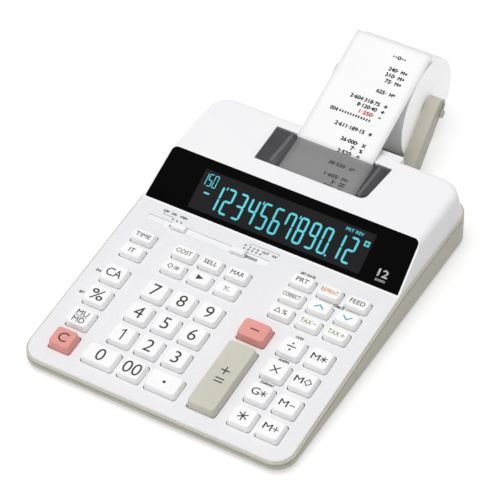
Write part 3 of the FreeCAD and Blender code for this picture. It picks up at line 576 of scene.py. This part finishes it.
def moulded_cap(width, length, height, skirt, taper, corner, roll, dish):
    """Closed shell of stacked loops: skirt, leaning side, rolled edge and a top hollowed across."""
    half_width = width / 2
    half_length = length / 2

    def dip(x):
        return dish * (1 - (x / half_width) ** 2)

    lean = math.atan2(taper, height)
    levels = [(-skirt, 0.0), (0.0, 0.0), (height * waist_share, taper * waist_share)]
    hub_height = height - roll
    hub_inset = taper * hub_height / height + roll * math.cos(lean)
    for step in range(roll_steps + 1):
        turn = lean + (math.pi / 2 - lean) * step / roll_steps
        levels.append((hub_height + roll * math.sin(turn), hub_inset - roll * math.cos(turn)))
    loops = []
    for level, inset in levels:
        outline = rounded_loop(half_width - inset, half_length - inset, corner)
        share = max(level, 0.0) / height
        loops.append([(x, y, level - dip(x) * share) for x, y in outline])
    rim = loops[-1]
    for share in (0.85, 0.65, 0.45, 0.25, 0.05):
        loops.append([(x * share, y * share, height - dip(x * share)) for x, y, z in rim])
    return loops


def skin_loops(name, loops, place_frame, material):
    """Smooth closed piece over stacked loops with equal counts of points."""
    shape = bmesh.new()
    rings = [[shape.verts.new(place_frame @ Vector(point)) for point in loop] for loop in loops]
    for lower, upper in zip(rings, rings[1:]):
        for index in range(len(lower)):
            following = (index + 1) % len(lower)
            shape.faces.new((lower[index], lower[following], upper[following], upper[index]))
    shape.faces.new(list(reversed(rings[0])))
    shape.faces.new(rings[-1])
    piece = finished(name, shape, material)
    for face in piece.data.polygons:
        face.use_smooth = len(face.vertices) == 4
    return piece


def deck_span(node):
    """Lowest and highest corners of a piece, measured along the deck."""
    flat = deck_frame.inverted()
    points = [flat @ vertex.co for vertex in frame["nodes"][node].data.vertices]
    low = Vector([min(point[axis] for point in points) for axis in range(3)])
    high = Vector([max(point[axis] for point in points) for axis in range(3)])
    return low, high


key_white = moulded("key_white", (250, 250, 249), (245, 245, 245), 1500, 0.36, 0.48, 0.012)
key_rose = moulded("key_rose", (230, 158, 149), (223, 149, 141), 1500, 0.36, 0.48, 0.012)
key_beige = moulded("key_beige", (206, 203, 190), (196, 193, 180), 1500, 0.4, 0.52, 0.016)
ink_orange = ink("ink_orange", (226, 150, 62), (217, 139, 52))
ink_teal = ink("ink_teal", (38, 152, 178), (30, 140, 166))
ink_green = ink("ink_green", (136, 156, 44), (124, 146, 36))


def star(size, width):
    """Six-armed star of straight strokes."""
    arms = []
    for turn in (90, 150, 210):
        reach = (math.cos(math.radians(turn)) * size / 2, math.sin(math.radians(turn)) * size / 2)
        arms += stroke([(-reach[0], -reach[1]), reach], width)
    return arms


def diamond(size, width):
    """Hollow diamond."""
    half = size / 2
    return stroke([(half, 0), (0, half), (-half, 0), (0, -half)], width, closed=True)


def dash(size, width):
    """Minus sign."""
    return stroke([(-size / 2, 0), (size / 2, 0)], width)


def plus(size, width):
    """Plus sign."""
    return dash(size, width) + stroke([(0, -size / 2), (0, size / 2)], width)


def side_by_side(*marks, gap):
    """Marks set in a row with a gap between them, centred together."""
    widths = []
    for mark in marks:
        xs = [point[0] for outline in mark for point in outline]
        widths.append((min(xs), max(xs)))
    total = sum(high - low for low, high in widths) + gap * (len(marks) - 1)
    pen = -total / 2
    row = []
    for mark, (low, high) in zip(marks, widths):
        row += shifted(mark, pen - low, 0)
        pen += high - low + gap
    return row


fine = 0.5
thin = 0.66
firm = 0.82
broad = 0.9
sign_size = 6.2
sign_shift = 0.3
word_height = 3.4
digit_height = 9.3
digit_top = digit_height / 2
memory = letters("M", 4.8, 5.6)
tax = letters("TAX", word_height, 8.0)
equals = dash(sign_size, broad)
divide_dot = disc(0.75)
legends = {
    "time": letters("TIME", 3.2, 11.2),
    "item": letters("IT", word_height, 4.2),
    "clear_all": letters("CA", 6.4, 11.0),
    "percent": letters("%", 8.4, 9.4, 0.1),
    "markup": shifted(letters("MU", 4.0, 8.4), 0, 2.9)
    + shifted(letters("MD", 4.0, 8.4), 0, -2.9)
    + dash(9.4, 0.4),
    "clear": letters("C", 7.2, 6.4),
    "cost": letters("COST", word_height, 11.4),
    "sell": letters("SELL", word_height, 9.8),
    "margin": letters("MAR", word_height, 9.4),
    "non_add": side_by_side(diamond(3.6, fine), letters("/#", 3.4), gap=0.6),
    "shift": [[(-2.2, -2.1), (2.8, 0), (-2.2, 2.1)]],
    "sign": shifted(plus(2.2, 0.4), -1.1, 0.9)
    + stroke([(-1.6, -2.0), (1.4, 1.9)], 0.4)
    + shifted(dash(2.2, 0.4), 1.5, -1.1),
    "double_zero": letters("00", digit_height, 12.4, 0.0),
    "point": disc(1.1),
    "minus": shifted(dash(sign_size, 0.95), sign_shift, 0),
    "plus_equals": shifted(plus(sign_size, broad), sign_shift, 3.9)
    + shifted(equals, sign_shift, -2.9)
    + shifted(equals, sign_shift, -5.5),
    "print": letters("PRT", word_height, 8.6),
    "reprint": letters("REPRINT", 3.3, 12.2),
    "feed": letters("FEED", word_height, 10.4),
    "correct": letters("CORRECT", 3.2, 12.4),
    "up": stroke([(-3.2, -1.2), (0, 1.5), (3.2, -1.2)], firm),
    "down": stroke([(-3.2, 1.2), (0, -1.5), (3.2, 1.2)], firm),
    "delta": side_by_side(
        stroke([(-1.9, -1.6), (1.9, -1.6), (0, 1.8)], fine, closed=True), letters("%", 3.7), gap=1.0
    ),
    "tax_minus": side_by_side(tax, dash(2.8, fine), gap=0.7),
    "tax_plus": side_by_side(tax, plus(3.0, fine), gap=0.7),
    "divide": dash(sign_size, firm) + shifted(divide_dot, 0, 2.6) + shifted(divide_dot, 0, -2.6),
    "multiply": stroke([(-2.7, -2.6), (2.7, 2.6)], firm) + stroke([(-2.7, 2.6), (2.7, -2.6)], firm),
    "total": star(7.2, firm),
    "grand_total": side_by_side(letters("G", 5.4, 5.2), star(4.8, thin), gap=0.5),
    "memory_total": side_by_side(memory, star(5.0, thin), gap=0.6),
    "memory_subtotal": side_by_side(memory, diamond(4.8, thin), gap=0.6),
    "memory_minus": side_by_side(memory, dash(3.8, thin), gap=1.2),
    "memory_plus": side_by_side(memory, plus(4.2, thin), gap=0.6),
}
for value in range(10):
    legends[f"digit_{value}"] = letters(str(value), digit_height, bold=0.0)
one_x = 0.7
flag_x = -1.8
flag = [(one_x, digit_top), (flag_x, digit_top - 1.7), (flag_x, digit_top - 2.6), (one_x, digit_top - 1.1)]
legends["digit_1"] = stroke([(one_x, -digit_top), (one_x, digit_top)], 0.95) + [flag]
cap_finish = {
    "clear": (key_rose, "key_pink"),
    "minus": (key_rose, "key_pink"),
    "plus_equals": (key_beige, "key_beige"),
}
legend_ink = {
    "reprint": ink_orange, "up": ink_teal, "down": ink_teal, "tax_minus": ink_green, "tax_plus": ink_green,
}


def top_of(cap, place_frame):
    """Surface just proud of a cap's top, as a function of the place on it."""
    flat = place_frame.inverted()
    points = [flat @ vertex.co for vertex in cap.data.vertices]
    skin = BVHTree.FromPolygons(points, [tuple(face.vertices) for face in cap.data.polygons])
    above = 2 * key_height

    def surface(x, y):
        hit = skin.ray_cast(Vector((x, y, above)), Vector((0, 0, -1)))[0]
        return place_frame @ Vector((x, y, hit.z + legend_lift))

    return surface


for key, marks in legends.items():
    node = "key_" + key
    low, high = deck_span(node)
    width = high.x - low.x - 2 * flange_reach
    length = high.y - low.y - 2 * flange_reach
    stand = deck_frame @ Matrix.Translation(((low.x + high.x) / 2, (low.y + high.y) / 2, 0))
    cap_loops = moulded_cap(width, length, high.z, key_skirt, key_taper, key_corner, key_roll, key_dish)
    finish, slot = cap_finish.get(key, (key_white, "key_white"))
    cap = skin_loops("cap_" + key, cap_loops, stand, finish)
    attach(cap, node)
    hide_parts(node)
    printed("legend_" + key, marks, top_of(cap, stand), legend_ink.get(key, ink_grey), node)

# Slide switches
# Two small white knobs in the sunken channel above the keys, with flat tops and softly rolled edges.
# Each carries a long slider below the deck, which keeps the slot under the knob closed. The slider
# is coloured mid grey, darker than the knob, so the slot shows as a darker band.
knob_corner = 0.9 * mm
knob_roll = 0.35 * mm
knob_taper = 0.5 * mm
knob_size = (11.0 * mm, 4.6 * mm)
knob_height = 2.4 * mm
knob_skirt = 0.78 * mm
slider_thickness = 1.0 * mm
knob_white = moulded("knob_white", (246, 246, 246), (240, 240, 241), 1500, 0.36, 0.5, 0.012)
# The slider's mid grey makes the slot beside each knob show darker than the knob.
slider_grey = moulded("slider_grey", (172, 172, 174), (160, 160, 162), 1200, 0.45, 0.6, 0.02)
for node in ("mode_switch", "decimal_switch"):
    low, high = deck_span(node)
    middle = Matrix.Translation(((low.x + high.x) / 2, (low.y + high.y) / 2, 0))
    knob_loops = moulded_cap(*knob_size, knob_height, knob_skirt, knob_taper, knob_corner, knob_roll, 0.0)
    knob = skin_loops(node + "_knob", knob_loops, deck_frame @ middle, knob_white)
    plate = bmesh.new()
    plate.from_mesh(knob.data)
    slider_size = Matrix.Diagonal((high.x - low.x, high.y - low.y, slider_thickness, 1))
    slider_spot = middle @ Matrix.Translation((0, 0, low.z + slider_thickness / 2))
    added = bmesh.ops.create_cube(plate, size=1.0, matrix=deck_frame @ slider_spot @ slider_size)
    for vertex in added["verts"]:
        for face in vertex.link_faces:
            face.material_index = 1
    plate.to_mesh(knob.data)
    plate.free()
    knob.data.materials.append(slider_grey)
    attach(knob, node)
    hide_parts(node)

# Paper roll
# A tight roll of plain paper, wound on a grey core and turning on the pins of the holder. Its ends
# show the fine rings of the layers, and are brightened by painted light: a faint emission on the end faces.
core_edge = 8.6 * mm
layer_pitch = 0.9 * mm
painted_end_light_strength = 0.3
fibre_scale = 1300.0
fibre_depth = 0.015 * mm
roll_hub = Vector(joint_named("paper_roll_spin")["pos_m"])
roll_low, roll_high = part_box("paper_roll")
roll_radius = (roll_high.z - roll_low.z) / 2


def vector_worked(tree, operation, *values):
    """Node that works out one operation on some vectors."""
    return add_node(tree, "ShaderNodeVectorMath", enumerate(values), operation=operation)


roll_paper, roll_tree, roll_shader = new_finish("roll_paper")
roll_spot = add_node(roll_tree, "ShaderNodeTexCoord").outputs["Object"]
from_hub = vector_worked(roll_tree, "SUBTRACT", roll_spot, roll_hub).outputs[0]
end_on = vector_worked(roll_tree, "MULTIPLY", from_hub, (0.0, 1.0, 1.0)).outputs[0]
hub_distance = vector_worked(roll_tree, "LENGTH", end_on).outputs["Value"]
layers = worked(roll_tree, "MULTIPLY", hub_distance, 1 / layer_pitch)
layer_links = (("W", layers), ("Scale", 1.0), ("Detail", 4.0))
layer_tone = add_node(roll_tree, "ShaderNodeTexNoise", layer_links, noise_dimensions="1D").outputs["Fac"]
layer_mix = blend(roll_tree, layer_tone, colour(238, 238, 240), colour(252, 252, 252))
in_core = worked(roll_tree, "LESS_THAN", hub_distance, core_edge)
core_mix = blend(roll_tree, in_core, layer_mix, colour(168, 160, 150))
fibres = noise(roll_tree, roll_spot, fibre_scale, 3.0)
fibre_relief = relief_on(roll_tree, fibres, fibre_depth)
facing = add_node(roll_tree, "ShaderNodeNewGeometry").outputs["True Normal"]
facing_axes = add_node(roll_tree, "ShaderNodeSeparateXYZ", (("Vector", facing),)).outputs
# Painted light: the end faces glow a little, so they look brighter than the lamps make them.
painted_end_light = worked(roll_tree, "MULTIPLY", worked(roll_tree, "ABSOLUTE", facing_axes["X"]), painted_end_light_strength)
feed(roll_tree, roll_shader, (("Base Color", core_mix), ("Roughness", 0.85), ("Normal", fibre_relief)))
feed(roll_tree, roll_shader, (("Emission Color", core_mix), ("Emission Strength", painted_end_light)))
roll_shader.inputs["Specular IOR Level"].default_value = 0.2
dress("paper_roll", roll_paper)

# Paper strip
# The free end of the roll: from its underside into the rear slot, round the platen, up to the
# cutter and back over the roll. A thin uncoated paper, printed in black with one amount in red.
spare_gap = 0.3 * mm
paper_half = 0.125 * mm
paper_lie = 0.05 * mm
paper_columns = 10
platen_radius = 8.0 * mm
platen_steps = 40
inlet_height = 14.0 * mm
exit_setback = 229.725 * mm
throat_drop = 3.0 * mm
strip_reach = 88.5 * mm
free_steps = 24
paper_low, paper_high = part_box("paper_strip")
platen_hub = Vector(joint_named("platen_roller_spin")["pos_m"])
wrap = roll_radius + spare_gap + paper_half
platen_wrap = platen_radius + spare_gap + paper_half
case_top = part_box("upper_case")[1].z
inlet = Vector((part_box("lower_case")[1].y, inlet_height))
exit_y = cad_box[0].y + exit_setback
throat = Vector((exit_y, case_top - throat_drop))
cutter = Vector((exit_y, case_top + spare_gap))
roll_centre = Vector((roll_hub.y, roll_hub.z))
platen_centre = Vector((platen_hub.y, platen_hub.z))


def touch(point, centre, radius, side):
    """Angle on a circle where a straight line from a point meets it."""
    gap = point - centre
    return math.atan2(gap.y, gap.x) - side * math.acos(radius / gap.length)


def on_circle(centre, radius, turn):
    """Point of a circle in the plane of the path."""
    return centre + radius * Vector((math.cos(turn), math.sin(turn)))


def path_frames(points):
    """Each point of a path with its outward normal in the plane of the path."""
    frames = []
    for index, point in enumerate(points):
        before = points[max(index - 1, 0)]
        after = points[min(index + 1, len(points) - 1)]
        way = (after - before).normalized()
        frames.append((point, Vector((-way.y, way.x))))
    return frames


under = touch(inlet, roll_centre, wrap, -1)
entry = touch(inlet, platen_centre, platen_wrap, 1)
leave = touch(throat, platen_centre, platen_wrap, -1)
over = touch(cutter, roll_centre, wrap, 1)
if entry < leave:
    entry += 2 * math.pi
path = [on_circle(roll_centre, wrap, under), inlet]
for step in range(platen_steps + 1):
    path.append(on_circle(platen_centre, platen_wrap, entry + (leave - entry) * step / platen_steps))
rest_point = on_circle(roll_centre, wrap, over)
strip_end = cutter + (rest_point - cutter).normalized() * strip_reach
path += [throat, cutter] + [cutter.lerp(strip_end, step / free_steps) for step in range(1, free_steps + 1)]
paper_frames = path_frames(path)

strip_shape = bmesh.new()
sheets = []
for side in (1, -1):
    rows = []
    for point, normal in paper_frames:
        row = []
        for column in range(paper_columns + 1):
            x = paper_low.x + (paper_high.x - paper_low.x) * column / paper_columns
            spot_on = point + normal * side * paper_lie
            row.append(strip_shape.verts.new((x, spot_on.x, spot_on.y)))
        rows.append(row)
    sheets.append(rows)
for rows, flip in zip(sheets, (False, True)):
    for row, following in zip(rows, rows[1:]):
        for column in range(paper_columns):
            corners = [row[column], row[column + 1], following[column + 1], following[column]]
            strip_shape.faces.new(corners[::-1] if flip else corners)
top, bottom = sheets
for index in range(len(path) - 1):
    strip_shape.faces.new((top[index][0], top[index + 1][0], bottom[index + 1][0], bottom[index][0]))
    strip_shape.faces.new((bottom[index][-1], bottom[index + 1][-1], top[index + 1][-1], top[index][-1]))
for column in range(paper_columns):
    strip_shape.faces.new((bottom[0][column], bottom[0][column + 1], top[0][column + 1], top[0][column]))
    strip_shape.faces.new((top[-1][column], top[-1][column + 1], bottom[-1][column + 1], bottom[-1][column]))
bmesh.ops.recalc_face_normals(strip_shape, faces=strip_shape.faces)
strip_paper = moulded("strip_paper", (250, 250, 250), (245, 245, 246), 1600, 0.8, 0.9, 0.006)
strip = finished("paper_ribbon", strip_shape, strip_paper)
for face in strip.data.polygons:
    face.use_smooth = True
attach(strip, "case")
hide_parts("paper_strip")

# Printing on the strip
# Rows of figures struck with ink from the roller: amounts to the left of their signs, a dotted rule
# and one amount in red. The rows run up the strip from under the cover to its free end.
row_height = 2.8
figure_step = 1.86
figure_gap = 0.4
figure_bold = 0.21
amount_right = 12.4
sign_middle = 16.9
sign_height = 0.9 * row_height
sign_bold = 0.22
black_rows = (
    (-29.4, "535.", "x"), (-24.9, "3.", "="), (-20.4, "1.605.", "M+"), (-10.8, "38.520.", "G*"),
    (0.6, "2.520.", "+"), (5.1, "7.", "%"), (9.5, "36.000.", "x"), (18.8, "2.611.189.15", "*"),
    (37.0, "8.120.40", "+"), (41.5, "2.604.318.75", "+"), (50.9, "625.", "M*"), (59.7, "75.", "M+"),
    (64.3, "310.", "M+"), (69.0, "240.", "M+"),
)
red_amount = "1.250."
red_run = 32.4
rule_run = 28.0
rule_left = -10.6
rule_pitch = 2.0
rule_dots = 12
rule_dot = dash(1.1, 1.9)
red_sign = dash(2.0, 1.0)
count_middle = -15.2
header_run = 78.6
header_middle = 8.4
header_offsets = (-4.2, -2.4, 2.4, 4.2)
header_dot = disc(0.65)
run_lengths = [0.0]
for first, second in zip(path, path[1:]):
    run_lengths.append(run_lengths[-1] + (second - first).length)
cutter_run = run_lengths[path.index(cutter)]
paper_middle = (paper_low.x + paper_high.x) / 2


def on_paper(x, run):
    """Point on the printed face at a distance past the cutter edge."""
    target = cutter_run + run
    for index in range(len(path) - 1):
        if run_lengths[index + 1] >= target:
            break
    share = (target - run_lengths[index]) / (run_lengths[index + 1] - run_lengths[index])
    point = path[index].lerp(path[index + 1], share)
    normal = paper_frames[index][1].lerp(paper_frames[index + 1][1], share)
    point = point + normal * (paper_lie + print_lift)
    return Vector((paper_middle + x, point.x, point.y))


def amount_marks(amount, run):
    """Flat outlines of an amount that ends at the common right edge."""
    width = figure_step * len(amount) - figure_gap
    figures = letters(amount.replace(".", "·"), row_height, width, figure_bold)
    return shifted(figures, amount_right - width / 2, run)


black_marks = shifted(red_sign, sign_middle, red_run)
for run, amount, sign in black_rows:
    black_marks += amount_marks(amount, run)
    black_marks += shifted(letters(sign, sign_height, bold=sign_bold), sign_middle, run)
black_marks += shifted(letters("004", row_height, 5.6, 0.18), count_middle, rule_run)
for step in range(rule_dots):
    black_marks += shifted(rule_dot, rule_left + rule_pitch * step, rule_run)
black_marks += shifted(letters("0", row_height, 2.4, 0.2), header_middle, header_run)
for offset in header_offsets:
    black_marks += shifted(header_dot, header_middle + offset, header_run)
ink_black = ink("ink_black", (18, 18, 19), (12, 12, 13))
ink_red = ink("ink_red", (226, 74, 62), (214, 62, 52))
printed("strip_black_print", black_marks, on_paper, ink_black, "case")
printed("strip_red_print", amount_marks(red_amount, red_run), on_paper, ink_red, "case")

# Printer cover
# A smoked clear plate that tips up on two pins for loading paper; its rear edge, cut back where the
# paper comes out, is the cutter. Through it the paper and the pale printer frame show dimly.
smoked, smoked_tree, smoked_shader, smoked_skin = grained(
    "smoked_plate", (104, 102, 105), (97, 95, 98), 900, 0.14, 0.22
)
feed(smoked_tree, smoked_shader, (("Base Color", smoked_skin["Colour"]), ("Alpha", 0.32)))
smoked_shader.inputs["Specular IOR Level"].default_value = 0.25
dress("printer_cover", smoked)

# Studio
# A pale floor under two large soft boxes, one above and one in front, with even light from all round.
# The view is from the front and right, half above, through a long lens.
floor_half = 3.0
floor_lit = (0.86, 0.86, 0.86, 1.0)
floor_shown = (0.58, 0.58, 0.58, 1.0)
floor_lift = 0.5
ambient = 0.45
white = (1.0, 1.0, 1.0, 1.0)


def shown(tree):
    """One for rays that show the studio, straight or by way of gloss or glass, and zero for its light."""
    rays = add_node(tree, "ShaderNodeLightPath").outputs
    direct = worked(tree, "MAXIMUM", rays["Is Camera Ray"], rays["Is Glossy Ray"])
    return worked(tree, "MAXIMUM", direct, rays["Is Transmission Ray"])


floor_white, floor_tree, floor_shader = new_finish("floor_white")
floor_seen = shown(floor_tree)
floor_tone = blend(floor_tree, floor_seen, floor_lit, floor_shown)
floor_glow = worked(floor_tree, "MULTIPLY", floor_seen, floor_lift)
feed(floor_tree, floor_shader, (("Base Color", floor_tone), ("Roughness", 0.9), ("Specular IOR Level", 0.0)))
feed(floor_tree, floor_shader, (("Emission Color", white), ("Emission Strength", floor_glow)))
floor_shape = bmesh.new()
floor_corners = ((-1, -1), (1, -1), (1, 1), (-1, 1))
floor_shape.faces.new([floor_shape.verts.new((x * floor_half, y * floor_half, 0)) for x, y in floor_corners])
floor = finished("studio_floor", floor_shape, floor_white)

world = bpy.data.worlds.new("studio")
bpy.context.scene.world = world
world.use_nodes = True
sky = world.node_tree
sky_level = ranged(sky, shown(sky), 0.0, 1.0, ambient, 1.0)
feed(sky, sky.nodes["Background"], (("Color", white), ("Strength", sky_level)))


def soft_box(name, power, size, place_at):
    """Large square lamp turned to the object."""
    lamp = bpy.data.lights.new(name, "AREA")
    lamp.energy = power
    lamp.size = size
    holder = bpy.data.objects.new(name, lamp)
    bpy.context.scene.collection.objects.link(holder)
    holder.location = place_at
    holder.rotation_euler = (-Vector(place_at)).to_track_quat("-Z", "Y").to_euler()


soft_box("top_box", 19.5, 1.3, (-0.1, -0.2, 1.8))
soft_box("front_box", 3.5, 1.2, (-0.7, -1.7, 0.7))

azimuth = math.radians(31.603)
elevation = math.radians(44.448)
roll_turn = math.radians(-1.466)
focal_pixels = 2466.73
frame_pixels = 500
camera_spot = Vector((0.588539, -1.002774, 1.143012))
back = Vector(
    (math.sin(azimuth) * math.cos(elevation), -math.cos(azimuth) * math.cos(elevation), math.sin(elevation))
)
level_right = Vector((math.cos(azimuth), math.sin(azimuth), 0))
level_up = back.cross(level_right)
view_right = level_right * math.cos(roll_turn) + level_up * math.sin(roll_turn)
view_up = back.cross(view_right)
lens = bpy.data.cameras.new("studio_camera")
lens.sensor_width = 36.0
lens.lens = focal_pixels / frame_pixels * lens.sensor_width
camera = bpy.data.objects.new("studio_camera", lens)
bpy.context.scene.collection.objects.link(camera)
camera.matrix_world = axes_frame(view_right, view_up, back, camera_spot)
bpy.context.scene.camera = camera
bpy.context.scene.view_settings.view_transform = "Standard"
